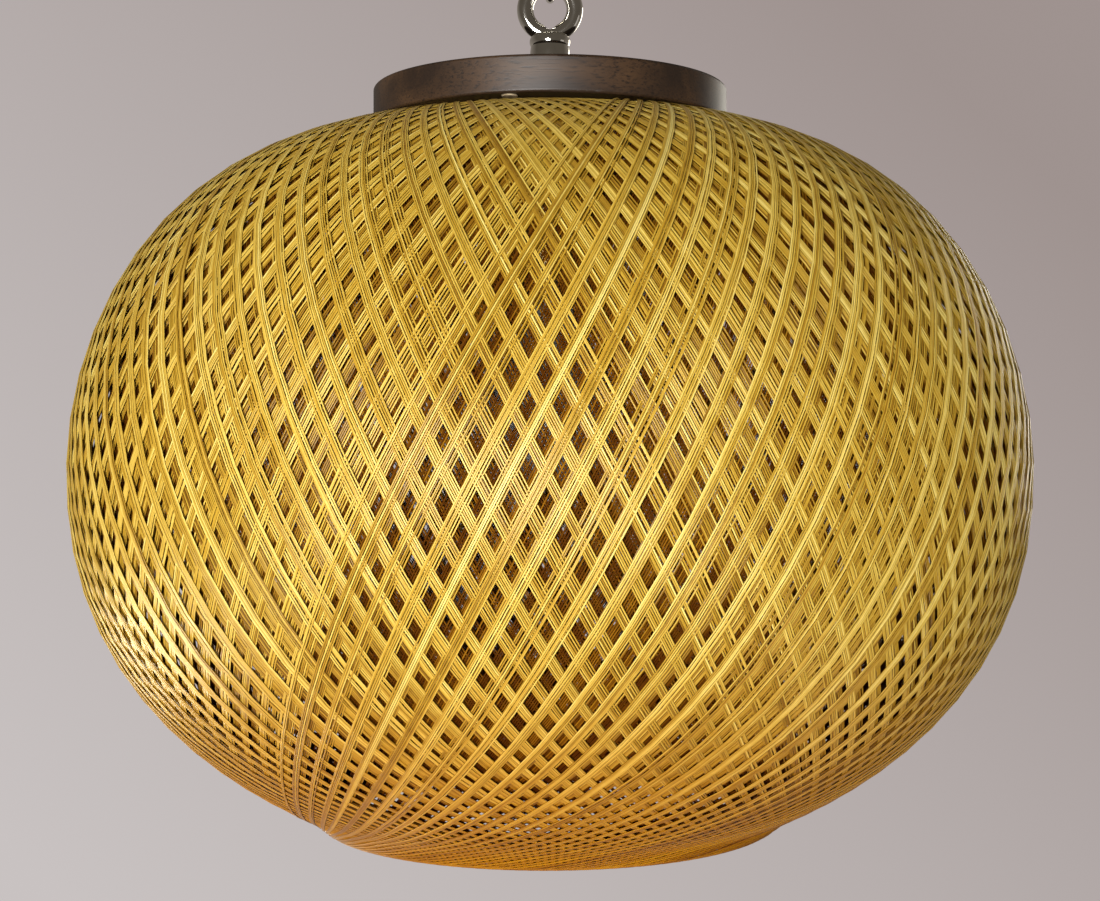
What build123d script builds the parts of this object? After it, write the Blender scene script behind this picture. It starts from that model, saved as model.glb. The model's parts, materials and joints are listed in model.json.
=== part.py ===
from build123d import *
import math
import os

# Pendant lamp: a globe wound from resin-bonded straw thread under a walnut cap, hung by a chrome
# loop and a short chain from a ceiling hook. Millimetres, +Z up. The origin is the centre of the
# ceiling plate's top face, and everything hangs below it on the Z axis.

# --- Driving dimensions ---------------------------------------------------------------------

# Wound globe: its section is two superellipse quarters that meet at the equator
globe_radius = 203.2
upper_height = 149.1
upper_side_power = 3.155
upper_height_power = 1.871
lower_height = 169.6
lower_side_power = 1.919
lower_height_power = 2.293
winding_thickness = 3.2
hub_radius = 30.5
mouth_radius = 93.3
mouth_bead = 3.4
mouth_bead_reach = 14.0

# Walnut cap
cap_radius = 76.2
cap_thickness = 15.0
cap_rim_width = 15.2
cap_edge_round = 1.2
cap_recess_room = 0.6
pad_radius = 3.2
pad_count = 3
pad_front_angle = -103.0
pad_inset = 5.2

# Fixture loop and its washer
ring_centre_height = 35.5
ring_outer_radius = 14.3
ring_hole_radius = 7.15
neck_radius = 8.8
neck_groove = 0.5
neck_groove_height = 19.5
flange_lip = 3.7
flange_height = 3.0
flange_edge = 1.0
neck_shoulder = 1.5
loop_thread_depth = 12.0
wire_way_radius = 3.2
cap_washer_lip = 2.5
cap_washer_thickness = 1.5

# Threaded nipple and what it clamps
nipple_radius = 5.0
nipple_wall = 1.5
nipple_end_room = 3.0
nipple_chamfer = 0.5
clamp_plate_lap = 11.5
clamp_plate_thickness = 2.0
lock_washer_radius = 9.0
lock_washer_thickness = 0.8
lock_tooth_count = 12
lock_notch_depth = 1.2
lock_notch_width = 1.2
nut_across_flats = 14.0
nut_thickness = 4.0
nut_chamfer_share = 0.6

# Chain
link_count = 3
link_length = 38.0
link_width = 22.0
link_wire_radius = 1.9
link_slit = 0.3

# Ceiling hook and plate
plate_radius = 32.0
plate_thickness = 6.0
plate_edge_round = 2.0
plate_screw_spacing = 44.0
plate_screw_hole_radius = 2.25
plate_screw_head_radius = 4.5
hook_wire_radius = 2.5
hook_bend_radius = 8.5
hook_shoulder_radius = 4.0
hook_collar_radius = 5.5
hook_collar_height = 2.5
hook_collar_round = 1.0
hook_shank_below_collar = 3.0
hook_tip_angle = 152.0
hook_tip_ball_radius = 3.1
hook_nut_across_flats = 8.0
hook_nut_thickness = 3.0
nut_well_radius = 6.5
nut_well_depth = 3.6

# Lampholder
socket_gap_below_nut = 2.0
socket_hub_wall = 2.5
socket_hub_height = 9.0
socket_cap_height = 26.0
socket_dome_lift = 2.0
socket_dome_bulge = 0.78
socket_dome_rise = 0.72
socket_metal = 0.9
socket_shell_length = 44.0
socket_shell_lap = 6.0
socket_lip_radius = 1.2
socket_shell_shoulder = 3.0
liner_thickness = 0.8
liner_mouth_room = 3.0
liner_headroom = 2.0
body_block_thickness = 10.0
body_block_overhang = 0.4
body_block_round = 0.8
screw_shell_length = 22.0
screw_shell_thickness = 0.6
contact_radius = 4.5
contact_thickness = 2.4
contact_edge = 0.6
terminal_screw_radius = 1.8
terminal_head_radius = 3.2
terminal_edge_room = 2.5
terminal_head_height = 2.0
terminal_hole_depth = 6.0
terminal_shaft_depth = 5.5
terminal_slot_width = 0.8
terminal_slot_depth = 0.6

# Bulb
bulb_cap_radius = 13.0
bulb_cap_length = 22.0
bulb_cap_thickness = 0.5
bulb_cap_shoulder = 3.0
bulb_cap_shoulder_drop = 2.0
bulb_cap_plain_end = 2.0
bulb_thread_pitch = 3.6
bulb_thread_depth = 0.7
bulb_tip_radius = 4.0
bulb_tip_height = 1.6
bulb_insulator_height = 3.4
bulb_insulator_edge = 1.0
bulb_radius = 30.0
bulb_length = 108.0
bulb_neck_in_cap = 8.0
bulb_neck_blend = 35.0
bulb_glass_thickness = 1.0
stem_radius = 4.0
stem_length = 34.0
stem_in_cap = 4.0
stem_flare_edge = 1.5
stem_flare_length = 8.0
stem_tip_share = 0.7
filament_wire_radius = 0.4
filament_half_span = 11.0
filament_height = 16.0
filament_foot_depth = 3.0
filament_foot_share = 0.5
filament_bend_radius = 2.0

# Named clearances
seat_gap = 0.1
running_gap = 0.3
thread_gap = 0.05
slip_gap = 0.2

# --- Radii worked out from what they fit ----------------------------------------------------

cap_seat_radius = cap_radius - cap_rim_width
pad_circle_radius = cap_radius - pad_inset
flange_radius = neck_radius + flange_lip
cap_washer_radius = flange_radius + cap_washer_lip
nipple_bore_radius = nipple_radius - nipple_wall
clamp_plate_radius = hub_radius + clamp_plate_lap
socket_hub_radius = nipple_radius + socket_hub_wall
bulb_thread_root = bulb_cap_radius - bulb_thread_depth
bulb_neck_radius = bulb_thread_root - bulb_cap_thickness - running_gap
screw_shell_radius = bulb_cap_radius + slip_gap + screw_shell_thickness
body_block_radius = screw_shell_radius + body_block_overhang
liner_radius = body_block_radius + running_gap + liner_thickness
socket_shell_radius = liner_radius + slip_gap + socket_metal
socket_cap_radius = socket_shell_radius + running_gap + socket_metal
terminal_offset = body_block_radius - terminal_edge_room - terminal_head_radius

# --- Heights worked out from the top down ---------------------------------------------------

hook_turn_rise = math.sqrt(
    2 * hook_shoulder_radius * hook_bend_radius + hook_bend_radius**2
)
hook_collar_top = -plate_thickness
shank_end = hook_collar_top - hook_collar_height - hook_shank_below_collar
hook_centre = shank_end - hook_turn_rise
hook_bottom = hook_centre - hook_bend_radius

link_reach = link_length / 2 - link_wire_radius
hang_step = 2 * link_reach - 2 * link_wire_radius - running_gap
first_link_top = hook_bottom + hook_wire_radius + link_wire_radius + running_gap
link_centres = [first_link_top - link_reach - i * hang_step for i in range(link_count)]
link_bottoms = [centre - link_reach for centre in link_centres]

ring_hole_top = link_bottoms[-1] + link_wire_radius + running_gap
ring_centre = ring_hole_top - ring_hole_radius
cap_top = ring_centre - ring_centre_height
cap_bottom = cap_top - cap_thickness
loop_base = cap_top + cap_washer_thickness


def upper_rise(radius):
    """Height above the equator of the globe's outside, in its upper part."""
    share = 1 - (radius / globe_radius) ** upper_side_power
    return upper_height * share ** (1 / upper_height_power)


equator = cap_bottom - seat_gap - upper_rise(cap_seat_radius)


def section_point(turn, upper, depth):
    """Point (radius, height) of the globe's section, depth below its outside.

    turn runs from 0 at the equator to 90 degrees at the pole of that half. The outside is the
    superellipse with side and height powers of its half, and the point moves in along the normal.
    """
    height, side, tall = (
        (upper_height, upper_side_power, upper_height_power)
        if upper
        else (lower_height, lower_side_power, lower_height_power)
    )
    across = math.cos(turn) ** (2 / side)
    along = math.sin(turn) ** (2 / tall)
    slope_r = side * across ** (side - 1) / globe_radius
    slope_z = tall * along ** (tall - 1) / height
    size = math.hypot(slope_r, slope_z)
    sign = 1 if upper else -1
    radius = globe_radius * across - depth * slope_r / size
    rise = sign * (height * along - depth * slope_z / size)
    return (radius, equator + rise)


def turn_at_radius(radius, upper, depth):
    """The turn at which the section, depth below the outside, reaches a radius, by bisection."""
    low, high = 0.2, math.pi / 2 - 1e-6
    for _ in range(60):
        middle = (low + high) / 2
        if section_point(middle, upper, depth)[0] > radius:
            low = middle
        else:
            high = middle
    return low


def bead_depth(turn, end_turn, depth):
    """The depth, less the bead that the crossing threads pile up towards the mouth's edge."""
    point = section_point(turn, False, 0)
    end = section_point(end_turn, False, 0)
    gap = math.hypot(point[0] - end[0], point[1] - end[1])
    return depth - mouth_bead * math.exp(-((gap / mouth_bead_reach) ** 2) * 3)


def globe_section(depth, with_bead):
    """Points of the globe's section at a depth, from the hub hole down to the mouth."""
    hub_turn = turn_at_radius(hub_radius, True, depth)
    mouth_turn = turn_at_radius(mouth_radius, False, 0)
    upper_steps, lower_steps = 9, 14
    points = []
    for i in range(upper_steps):
        points.append(section_point(hub_turn * (1 - i / upper_steps), True, depth))
    points.append((globe_radius - depth, equator))
    for i in range(1, lower_steps + 1):
        turn = mouth_turn * math.sin(i / lower_steps * math.pi / 2)
        local = bead_depth(turn, mouth_turn, depth) if with_bead else depth
        points.append(section_point(turn, False, local))
    return points


def inside_height(radius):
    """Height of the winding's inner face at a radius near the crown."""
    turn = turn_at_radius(radius, True, winding_thickness)
    return section_point(turn, True, winding_thickness)[1]


crown_top = equator + upper_rise(hub_radius)
clamp_top = inside_height(clamp_plate_radius) - seat_gap
clamp_bottom = clamp_top - clamp_plate_thickness
lock_washer_bottom = clamp_bottom - lock_washer_thickness
nut_bottom = lock_washer_bottom - nut_thickness
socket_top = nut_bottom - socket_gap_below_nut
nipple_top = loop_base + loop_thread_depth - nipple_end_room
nipple_bottom = socket_top - socket_hub_height
socket_skirt_bottom = socket_top - socket_cap_height
shell_top = socket_skirt_bottom + socket_shell_lap
shell_bottom = shell_top - socket_shell_length
liner_top = shell_top - socket_metal - slip_gap
block_top = liner_top - liner_headroom
block_bottom = block_top - body_block_thickness
contact_bottom = block_bottom - contact_thickness
bulb_top = contact_bottom - seat_gap
bulb_cap_top = bulb_top - bulb_tip_height - bulb_insulator_height
bulb_cap_bottom = bulb_cap_top - bulb_cap_length
bulb_centre = bulb_top - bulb_length + bulb_radius
bulb_glass_top = bulb_cap_bottom + bulb_neck_in_cap
stem_top = bulb_cap_bottom + stem_in_cap


# --- Shared shapes --------------------------------------------------------------------------


def turned(section):
    """A solid turned about Z from a closed curve drawn with X as radius and Y as height."""
    face = make_face(section).face()
    if face.normal_at().Z < 0:
        face = -face
    return revolve(Plane.XZ * face, Axis.Z, 360)


def dome_arc(radius, rim, crown):
    """Arc of a sphere centred on the axis, from its rim at a radius and height to its crown."""
    rise = crown - rim
    ball = (radius**2 + rise**2) / (2 * rise)
    half_turn = math.asin(radius / abs(ball)) / 2
    middle = (abs(ball) * math.sin(half_turn), crown - ball + ball * math.cos(half_turn))
    return ThreePointArc((radius, rim), middle, (0, crown))


def turned_outline(points):
    """A solid turned about Z from a closed outline of straight sides."""
    return turned(Polyline(*points, close=True))


def disc(radius, top, bottom):
    """An upright cylinder between two heights."""
    return Pos(0, 0, bottom) * Cylinder(
        radius, top - bottom, align=(Align.CENTER, Align.CENTER, Align.MIN)
    )


def pipe(outer, inner, top, bottom):
    """An upright tube between two heights."""
    return disc(outer, top, bottom) - disc(inner, top + 1, bottom - 1)


def hex_nut(across_flats, bore, top, bottom):
    """A hexagon nut with its corners turned back at both faces."""
    corner = across_flats / math.sqrt(3)
    block = Pos(0, 0, bottom) * extrude(RegularPolygon(corner, 6), top - bottom)
    turned_back = (corner - across_flats / 2) * nut_chamfer_share
    turned_blank = turned_outline(
        [
            (0, top),
            (corner - turned_back, top),
            (corner, top - turned_back),
            (corner, bottom + turned_back),
            (corner - turned_back, bottom),
            (0, bottom),
        ]
    )
    return (block & turned_blank) - disc(bore, top + 1, bottom - 1)


def swept_wire(path, radius):
    """A round wire along a path."""
    return sweep(Plane(origin=path @ 0, z_dir=path % 0) * Circle(radius), path=path)


# --- Ceiling hook ---------------------------------------------------------------------------


def make_ceiling_plate():
    """Round plate with a well for the hook's nut and two countersunk screw holes."""
    plate = disc(plate_radius, 0, -plate_thickness)
    lower_rim = plate.edges().filter_by(GeomType.CIRCLE).sort_by(Axis.Z)[0]
    plate = fillet(lower_rim, plate_edge_round)
    plate -= disc(nut_well_radius, 1, -nut_well_depth)
    plate -= disc(hook_wire_radius + thread_gap, 1, -plate_thickness - 1)
    head_depth = plate_screw_head_radius - plate_screw_hole_radius
    for side in (-1, 1):
        place = Pos(side * plate_screw_spacing / 2, 0, 0)
        plate -= place * disc(plate_screw_hole_radius, 1, -plate_thickness - 1)
        plate -= place * turned_outline(
            [
                (0, -plate_thickness + head_depth),
                (plate_screw_hole_radius, -plate_thickness + head_depth),
                (plate_screw_head_radius, -plate_thickness),
                (0, -plate_thickness),
            ]
        )
    return plate


def make_ceiling_hook():
    """Shank, collar and open bend, whose lowest point lies under the shank."""
    meet_angle = math.degrees(math.atan2(hook_turn_rise, hook_shoulder_radius))
    shank_top = -nut_well_depth + hook_nut_thickness
    shoulder = CenterArc(
        (hook_shoulder_radius, shank_end), hook_shoulder_radius, 180, meet_angle
    )
    bend = CenterArc(
        (0, hook_centre), hook_bend_radius, meet_angle, hook_tip_angle - 360 - meet_angle
    )
    path = Plane.XZ * Wire([Line((0, shank_top), (0, shank_end)), shoulder, bend])
    hook = swept_wire(path, hook_wire_radius)
    collar_bottom = hook_collar_top - hook_collar_height
    collar = disc(hook_collar_radius, hook_collar_top - seat_gap, collar_bottom)
    collar = fillet(collar.edges().sort_by(Axis.Z)[0], hook_collar_round)
    tip = Plane.XZ * Pos(*(Vector(bend @ 1)))
    return hook + collar + Pos(*tip.position) * Sphere(hook_tip_ball_radius)


def make_hook_nut():
    """Thin nut in the plate's well that holds the hook's shank."""
    return hex_nut(
        hook_nut_across_flats,
        hook_wire_radius + thread_gap,
        -nut_well_depth + hook_nut_thickness + seat_gap,
        -nut_well_depth + seat_gap,
    )


# --- Chain ----------------------------------------------------------------------------------


def make_link(centre, faces_front):
    """One oval link of round wire with the slit where its ends meet.

    faces_front puts the link's flat side in the XZ plane, else it lies in the YZ plane.
    """
    bend = link_width / 2 - link_wire_radius
    half = link_reach - bend
    oval = Wire(
        [
            Line((bend, -half), (bend, half)),
            CenterArc((0, half), bend, 0, 180),
            Line((-bend, half), (-bend, -half)),
            CenterArc((0, -half), bend, 180, 180),
        ]
    )
    ring = swept_wire(Plane.XZ * oval, link_wire_radius)
    slit = Pos(bend, 0, 0) * Box(4 * link_wire_radius, 4 * link_wire_radius, link_slit)
    turn = 0 if faces_front else 90
    return Pos(0, 0, centre) * Rot(0, 0, turn) * (ring - slit)


# --- Fixture loop ---------------------------------------------------------------------------


def make_fixture_loop():
    """Round ring on a turned neck, threaded for the nipple, with a way for the wires."""
    wire = (ring_outer_radius - ring_hole_radius) / 2
    ring = Pos(0, 0, ring_centre) * Rot(90, 0, 0) * Torus(ring_hole_radius + wire, wire)
    groove = cap_top + neck_groove_height
    neck_top = ring_centre - ring_hole_radius - wire
    flange_top = loop_base + flange_height
    waist = neck_radius - neck_groove
    neck_foot = flange_top + flange_edge
    flange_face = flange_radius - flange_edge
    crown = waist - neck_shoulder
    upper_swell = (neck_radius, (neck_top + groove) / 2)
    lower_swell = (neck_radius, (groove + neck_foot + flange_edge) / 2)
    neck = turned(
        [
            Line((0, neck_top), (crown, neck_top)),
            ThreePointArc((crown, neck_top), upper_swell, (waist, groove)),
            ThreePointArc((waist, groove), lower_swell, (waist, neck_foot)),
            Line((waist, neck_foot), (flange_face, flange_top)),
            Line((flange_face, flange_top), (flange_radius, flange_top - flange_edge)),
            Line((flange_radius, flange_top - flange_edge), (flange_radius, loop_base)),
            Line((flange_radius, loop_base), (0, loop_base)),
            Line((0, loop_base), (0, neck_top)),
        ]
    )
    loop = ring + neck
    loop -= disc(nipple_radius + thread_gap, loop_base + loop_thread_depth, loop_base - 1)
    loop -= disc(wire_way_radius, ring_centre - ring_hole_radius + 2, loop_base)
    return loop


def make_cap_washer():
    """Washer that spreads the loop's pull over the wood."""
    washer = pipe(cap_washer_radius, nipple_radius + slip_gap, loop_base, cap_top)
    top_edges = washer.edges().filter_by(GeomType.CIRCLE).group_by(Axis.Z)[-1]
    rim = top_edges.sort_by(SortBy.RADIUS)[-1]
    return fillet(rim, cap_washer_thickness / 2)


# --- Walnut cap and winding -----------------------------------------------------------------


def make_wood_cap():
    """Turned disc, hollowed underneath for the globe's crown."""
    cap = disc(cap_radius, cap_top, cap_bottom)
    cap = fillet(cap.edges().filter_by(GeomType.CIRCLE), cap_edge_round)
    cap -= disc(cap_seat_radius, crown_top + cap_recess_room, cap_bottom - 1)
    cap -= disc(nipple_radius + slip_gap, cap_top + 1, cap_bottom - 1)
    return cap


def make_cap_pads():
    """Small felt pads between the cap's edge and the globe's shoulder."""
    pads = []
    shoulder = equator + upper_rise(pad_circle_radius - pad_radius) + seat_gap
    for i in range(pad_count):
        angle = pad_front_angle + i * 360 / pad_count
        pad = disc(pad_radius, cap_bottom - seat_gap, shoulder)
        pads.append(Rot(0, 0, angle) * Pos(pad_circle_radius, 0, 0) * pad)
    return Compound(children=pads)


def make_wound_globe():
    """The winding as one shell of revolution, open at the hub and at the mouth."""
    outer = globe_section(0, True)
    inner = globe_section(winding_thickness, False)
    outside = Spline(*outer)
    inside = Spline(*inner)
    top = Line(outer[0], inner[0])
    lip_middle = (
        (outer[-1][0] + inner[-1][0]) / 2 - mouth_bead / 2,
        (outer[-1][1] + inner[-1][1]) / 2,
    )
    lip = ThreePointArc(outer[-1], lip_middle, inner[-1])
    return turned([outside, lip, inside, top])


# --- Nipple and clamping hardware -----------------------------------------------------------


def make_nipple():
    """Hollow threaded rod from the loop's neck to the lampholder."""
    rod = pipe(nipple_radius, nipple_bore_radius, nipple_top, nipple_bottom)
    ends = rod.edges().filter_by(GeomType.CIRCLE).group_by(SortBy.RADIUS)[-1]
    return chamfer(ends, nipple_chamfer)


def make_clamp_plate():
    """Plate inside the crown that holds the winding up against the cap."""
    return pipe(clamp_plate_radius, nipple_radius + slip_gap, clamp_top, clamp_bottom)


def make_lock_washer():
    """Toothed washer under the clamp plate."""
    washer = pipe(
        lock_washer_radius, nipple_radius + slip_gap, clamp_bottom, lock_washer_bottom
    )
    cutter = Box(2 * lock_notch_depth, lock_notch_width, 4 * lock_washer_thickness)
    for i in range(lock_tooth_count):
        notch = Pos(lock_washer_radius, 0, clamp_bottom) * cutter
        washer -= Rot(0, 0, i * 360 / lock_tooth_count) * notch
    return washer


def make_clamp_nut():
    """Hexagon nut that pulls the plate up."""
    return hex_nut(
        nut_across_flats, nipple_radius + thread_gap, lock_washer_bottom, nut_bottom
    )


# --- Lampholder -----------------------------------------------------------------------------


def make_socket_cap():
    """Domed cap whose threaded hub screws on the nipple."""
    skirt = socket_cap_radius
    wall = socket_metal
    dome_top = socket_top - socket_hub_height
    dome_foot = socket_skirt_bottom + socket_shell_lap + socket_dome_lift
    middle = (
        socket_hub_radius + (skirt - socket_hub_radius) * socket_dome_bulge,
        dome_foot + (dome_top - dome_foot) * socket_dome_rise,
    )
    inset = wall * math.sin(math.radians(45))
    inner_middle = (middle[0] - inset, middle[1] - inset)
    inner_hub = socket_hub_radius - wall
    bore = nipple_radius + thread_gap
    return turned(
        [
            Line((bore, socket_top), (socket_hub_radius, socket_top)),
            Line((socket_hub_radius, socket_top), (socket_hub_radius, dome_top)),
            ThreePointArc((socket_hub_radius, dome_top), middle, (skirt, dome_foot)),
            Line((skirt, dome_foot), (skirt, socket_skirt_bottom)),
            Line((skirt, socket_skirt_bottom), (skirt - wall, socket_skirt_bottom)),
            Line((skirt - wall, socket_skirt_bottom), (skirt - wall, dome_foot)),
            ThreePointArc((skirt - wall, dome_foot), inner_middle, (inner_hub, dome_top - wall)),
            Line((inner_hub, dome_top - wall), (bore, dome_top - wall)),
            Line((bore, dome_top - wall), (bore, socket_top)),
        ]
    )


def make_socket_shell():
    """Tube of the lampholder with a shoulder inside the cap and a rolled lip at its mouth."""
    outer = socket_shell_radius
    inner = outer - socket_metal
    shoulder = inner - socket_shell_shoulder
    tube = turned_outline(
        [
            (shoulder, shell_top),
            (outer, shell_top),
            (outer, shell_bottom),
            (inner, shell_bottom),
            (inner, shell_top - socket_metal),
            (shoulder, shell_top - socket_metal),
        ]
    )
    lip = Pos(0, 0, shell_bottom) * Torus(outer, socket_lip_radius)
    reach = 2 * socket_lip_radius
    return tube + (lip - disc(inner, shell_bottom + reach, shell_bottom - reach))


def make_socket_liner():
    """Fibre sleeve between the metal shell and the live parts."""
    liner_bottom = shell_bottom + liner_mouth_room
    return pipe(liner_radius, liner_radius - liner_thickness, liner_top, liner_bottom)


def make_socket_body():
    """Moulded block that carries the terminals, screw shell and centre contact."""
    block = disc(body_block_radius, block_top, block_bottom)
    block = fillet(block.edges().filter_by(GeomType.CIRCLE), body_block_round)
    hole = disc(terminal_screw_radius + thread_gap, block_top + 1, block_top - terminal_hole_depth)
    for side in (-1, 1):
        block -= Pos(0, side * terminal_offset, 0) * hole
    return block


def make_terminal_screws():
    """The two binding screws on the block."""
    head_bottom = block_top + seat_gap
    head_top = head_bottom + terminal_head_height
    shaft = disc(terminal_screw_radius, head_bottom, block_top - terminal_shaft_depth)
    head = disc(terminal_head_radius, head_top, head_bottom)
    cutter = Box(2 * terminal_head_radius, terminal_slot_width, 2 * terminal_slot_depth)
    screw = shaft + head - Pos(0, 0, head_top) * cutter
    screws = [Pos(0, side * terminal_offset, 0) * screw for side in (-1, 1)]
    return Compound(children=screws)


def make_screw_shell():
    """Threaded metal shell that the bulb's cap turns into."""
    top = block_bottom - seat_gap
    return pipe(
        screw_shell_radius,
        screw_shell_radius - screw_shell_thickness,
        top,
        top - screw_shell_length,
    )


def make_centre_contact():
    """Sprung centre contact, drawn as its pressed dome."""
    top = block_bottom - seat_gap
    return turned(
        [
            Line((0, top), (contact_radius, top)),
            Line((contact_radius, top), (contact_radius, top - contact_edge)),
            dome_arc(contact_radius, top - contact_edge, contact_bottom),
            Line((0, contact_bottom), (0, top)),
        ]
    )


# --- Bulb -----------------------------------------------------------------------------------


def make_bulb_contact():
    """Soldered tip of the bulb's cap."""
    base = bulb_top - bulb_tip_height
    return turned(
        [
            Line((0, base), (bulb_tip_radius, base)),
            dome_arc(bulb_tip_radius, base, bulb_top),
            Line((0, bulb_top), (0, base)),
        ]
    )


def make_bulb_insulator():
    """Black glass cone between the tip and the threaded cap."""
    top = bulb_top - bulb_tip_height
    return turned_outline(
        [
            (0, top),
            (bulb_tip_radius + bulb_insulator_edge, top),
            (bulb_cap_radius - bulb_cap_shoulder, bulb_cap_top),
            (0, bulb_cap_top),
        ]
    )


def make_bulb_cap():
    """Threaded cap of the bulb, its thread as rounded ribs one pitch apart."""
    root = bulb_thread_root
    inner = root - bulb_cap_thickness
    shoulder = bulb_cap_radius - bulb_cap_shoulder
    mouth = shoulder - bulb_cap_thickness
    shoulder_foot = bulb_cap_top - bulb_cap_shoulder_drop
    height = shoulder_foot
    threaded = shoulder_foot - bulb_cap_bottom - bulb_cap_plain_end
    lines = [
        Line((mouth, bulb_cap_top), (shoulder, bulb_cap_top)),
        Line((shoulder, bulb_cap_top), (root, height)),
    ]
    for _ in range(int(threaded / bulb_thread_pitch)):
        lower = height - bulb_thread_pitch
        crest = (bulb_cap_radius, (height + lower) / 2)
        lines.append(ThreePointArc((root, height), crest, (root, lower)))
        height = lower
    lines.append(Line((root, height), (root, bulb_cap_bottom)))
    lines.append(Line((root, bulb_cap_bottom), (inner, bulb_cap_bottom)))
    lines.append(Line((inner, bulb_cap_bottom), (inner, shoulder_foot)))
    lines.append(Line((inner, shoulder_foot), (mouth, bulb_cap_top)))
    return turned(lines)


def bulb_side(depth):
    """The glass's outline at a depth: neck, hollow blend and round end, from the neck down."""
    neck = bulb_neck_radius - depth
    ball = bulb_radius - depth
    blend = bulb_neck_blend + depth
    reach = neck + blend
    rise = math.sqrt((blend + ball) ** 2 - reach**2)
    neck_end = bulb_centre + rise
    meet_share = ball / (ball + blend)
    meet = (reach * meet_share, bulb_centre + rise * meet_share)
    half_turn = math.radians(180 + math.degrees(math.atan2(rise, reach)) / 2)
    middle = (reach + blend * math.cos(half_turn), neck_end + blend * math.sin(half_turn))
    equator_point = (ball, bulb_centre)
    return [
        Line((neck, bulb_glass_top), (neck, neck_end)),
        ThreePointArc((neck, neck_end), middle, meet),
        ThreePointArc(meet, equator_point, (0, bulb_centre - ball)),
    ]


def make_bulb_glass():
    """Frosted envelope, its neck held inside the cap."""
    outer = bulb_side(0)
    inner = bulb_side(bulb_glass_thickness)
    low = bulb_centre - bulb_radius
    rim = Line(outer[0] @ 0, inner[0] @ 0)
    return turned(outer + inner + [rim, Line((0, low), (0, low + bulb_glass_thickness))])


def make_bulb_stem():
    """Glass stem that carries the filament's supports."""
    flare = bulb_neck_radius - bulb_glass_thickness - slip_gap
    return turned_outline(
        [
            (0, stem_top),
            (flare, stem_top),
            (flare, stem_top - stem_flare_edge),
            (stem_radius, stem_top - stem_flare_length),
            (stem_radius * stem_tip_share, stem_top - stem_length),
            (0, stem_top - stem_length),
        ]
    )


def make_bulb_filament():
    """Support wires and the filament across them, as one bent wire."""
    foot = stem_top - stem_length + filament_foot_depth
    crown = foot - filament_height
    path = Plane.XZ * FilletPolyline(
        (-stem_radius * filament_foot_share, foot),
        (-filament_half_span, crown),
        (filament_half_span, crown),
        (stem_radius * filament_foot_share, foot),
        radius=filament_bend_radius,
    )
    return swept_wire(path, filament_wire_radius)


# --- Write every piece ----------------------------------------------------------------------

pieces = {
    "ceiling_plate": make_ceiling_plate(),
    "ceiling_hook": make_ceiling_hook(),
    "hook_nut": make_hook_nut(),
    "fixture_loop": make_fixture_loop(),
    "cap_washer": make_cap_washer(),
    "wood_cap": make_wood_cap(),
    "cap_pads": make_cap_pads(),
    "wound_globe": make_wound_globe(),
    "threaded_nipple": make_nipple(),
    "clamp_plate": make_clamp_plate(),
    "lock_washer": make_lock_washer(),
    "clamp_nut": make_clamp_nut(),
    "socket_cap": make_socket_cap(),
    "socket_shell": make_socket_shell(),
    "socket_liner": make_socket_liner(),
    "socket_body": make_socket_body(),
    "terminal_screws": make_terminal_screws(),
    "screw_shell": make_screw_shell(),
    "centre_contact": make_centre_contact(),
    "bulb_contact": make_bulb_contact(),
    "bulb_insulator": make_bulb_insulator(),
    "bulb_cap": make_bulb_cap(),
    "bulb_glass": make_bulb_glass(),
    "bulb_stem": make_bulb_stem(),
    "bulb_filament": make_bulb_filament(),
}
for i, centre in enumerate(link_centres):
    pieces[f"chain_link_{i + 1}"] = make_link(centre, i % 2 == 1)

os.makedirs("parts", exist_ok=True)
for name, shape in pieces.items():
    export_step(shape, f"parts/{name}.step")
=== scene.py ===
"""Looks of a swag pendant lamp: a globe wound from straw thread under a walnut disc, hung from a chain.

Everything is in metres, Z up, in the frame of the construction model, whose origin is the centre of
the ceiling plate's top face. The globe's single threads are made here. The other pieces keep their
constructed shapes and get their finishes here.
"""

import json
import logging
import math
from dataclasses import dataclass, field
from enum import Enum

import bpy
import numpy as np
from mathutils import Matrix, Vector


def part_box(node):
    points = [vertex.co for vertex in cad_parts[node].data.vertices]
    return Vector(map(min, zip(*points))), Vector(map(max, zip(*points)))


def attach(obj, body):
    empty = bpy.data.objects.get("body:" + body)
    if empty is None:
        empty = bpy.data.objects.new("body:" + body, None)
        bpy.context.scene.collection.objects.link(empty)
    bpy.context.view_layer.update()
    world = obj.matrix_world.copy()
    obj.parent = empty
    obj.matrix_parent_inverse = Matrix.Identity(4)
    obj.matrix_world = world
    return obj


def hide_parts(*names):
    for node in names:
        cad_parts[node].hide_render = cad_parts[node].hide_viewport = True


Node = bpy.types.Node
Socket = bpy.types.NodeSocket
Triple = tuple[float, float, float]

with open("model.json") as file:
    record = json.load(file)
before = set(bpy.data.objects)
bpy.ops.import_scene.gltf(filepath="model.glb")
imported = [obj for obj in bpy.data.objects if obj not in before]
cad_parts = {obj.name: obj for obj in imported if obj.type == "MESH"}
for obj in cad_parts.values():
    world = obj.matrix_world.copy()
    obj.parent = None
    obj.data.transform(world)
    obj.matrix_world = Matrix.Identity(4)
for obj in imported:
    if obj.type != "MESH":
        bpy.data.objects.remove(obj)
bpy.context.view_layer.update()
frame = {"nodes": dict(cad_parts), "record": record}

LOG = logging.getLogger("pendant_lamp")
MM = 0.001
GRIT_DEPTH = 0.2 * MM


class Lean(Enum):
    """Which way a thread leans as it climbs, seen from outside the globe."""

    RIGHT = 1
    LEFT = -1


# --- Shader helpers ---------------------------------------------------------------------------


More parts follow.
